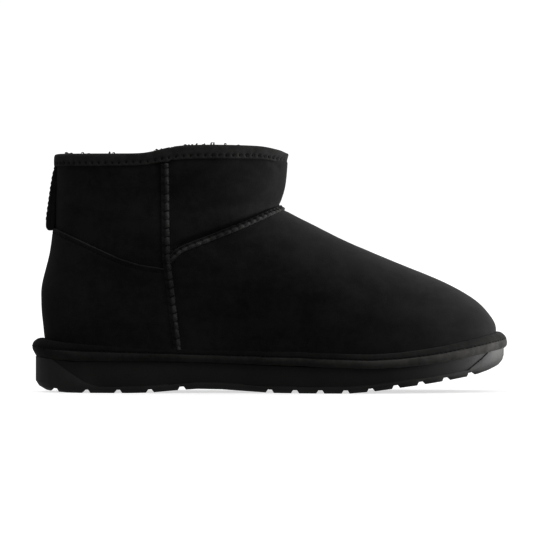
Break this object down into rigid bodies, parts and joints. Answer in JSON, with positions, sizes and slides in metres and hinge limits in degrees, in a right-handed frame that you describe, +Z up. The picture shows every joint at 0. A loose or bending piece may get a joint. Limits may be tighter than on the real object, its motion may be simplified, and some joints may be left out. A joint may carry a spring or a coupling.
{
  "type": "sheepskin ankle boot",
  "caption": "Pull-on sheepskin ankle boot for the right foot: hollow suede upper lined with fleece, rolled rand, lugged foam sole, bound collar and rear pull loop.",
  "frame": {"origin": "middle of the bounding box, on the plane that the tread stands on", "axes": "+X from heel to toe, +Y towards the inner (big toe) side of the right foot, +Z up"},
  "size_m": [0.28, 0.1038, 0.1449],
  "materials": {
    "sole": "matt moulded foam rubber",
    "rand_suede": "brushed suede, rolled",
    "suede": "brushed suede",
    "binding": "folded suede strip",
    "thread": "waxed bonded thread",
    "fleece": "dense curly wool"
  },
  "bodies": {
    "root": {"outsole": "sole", "rand": "rand_suede", "upper": "suede", "heel_counter": "suede", "collar_binding": "binding", "pull_loop": "binding", "insole": "fleece"}
  },
  "joints": []
}
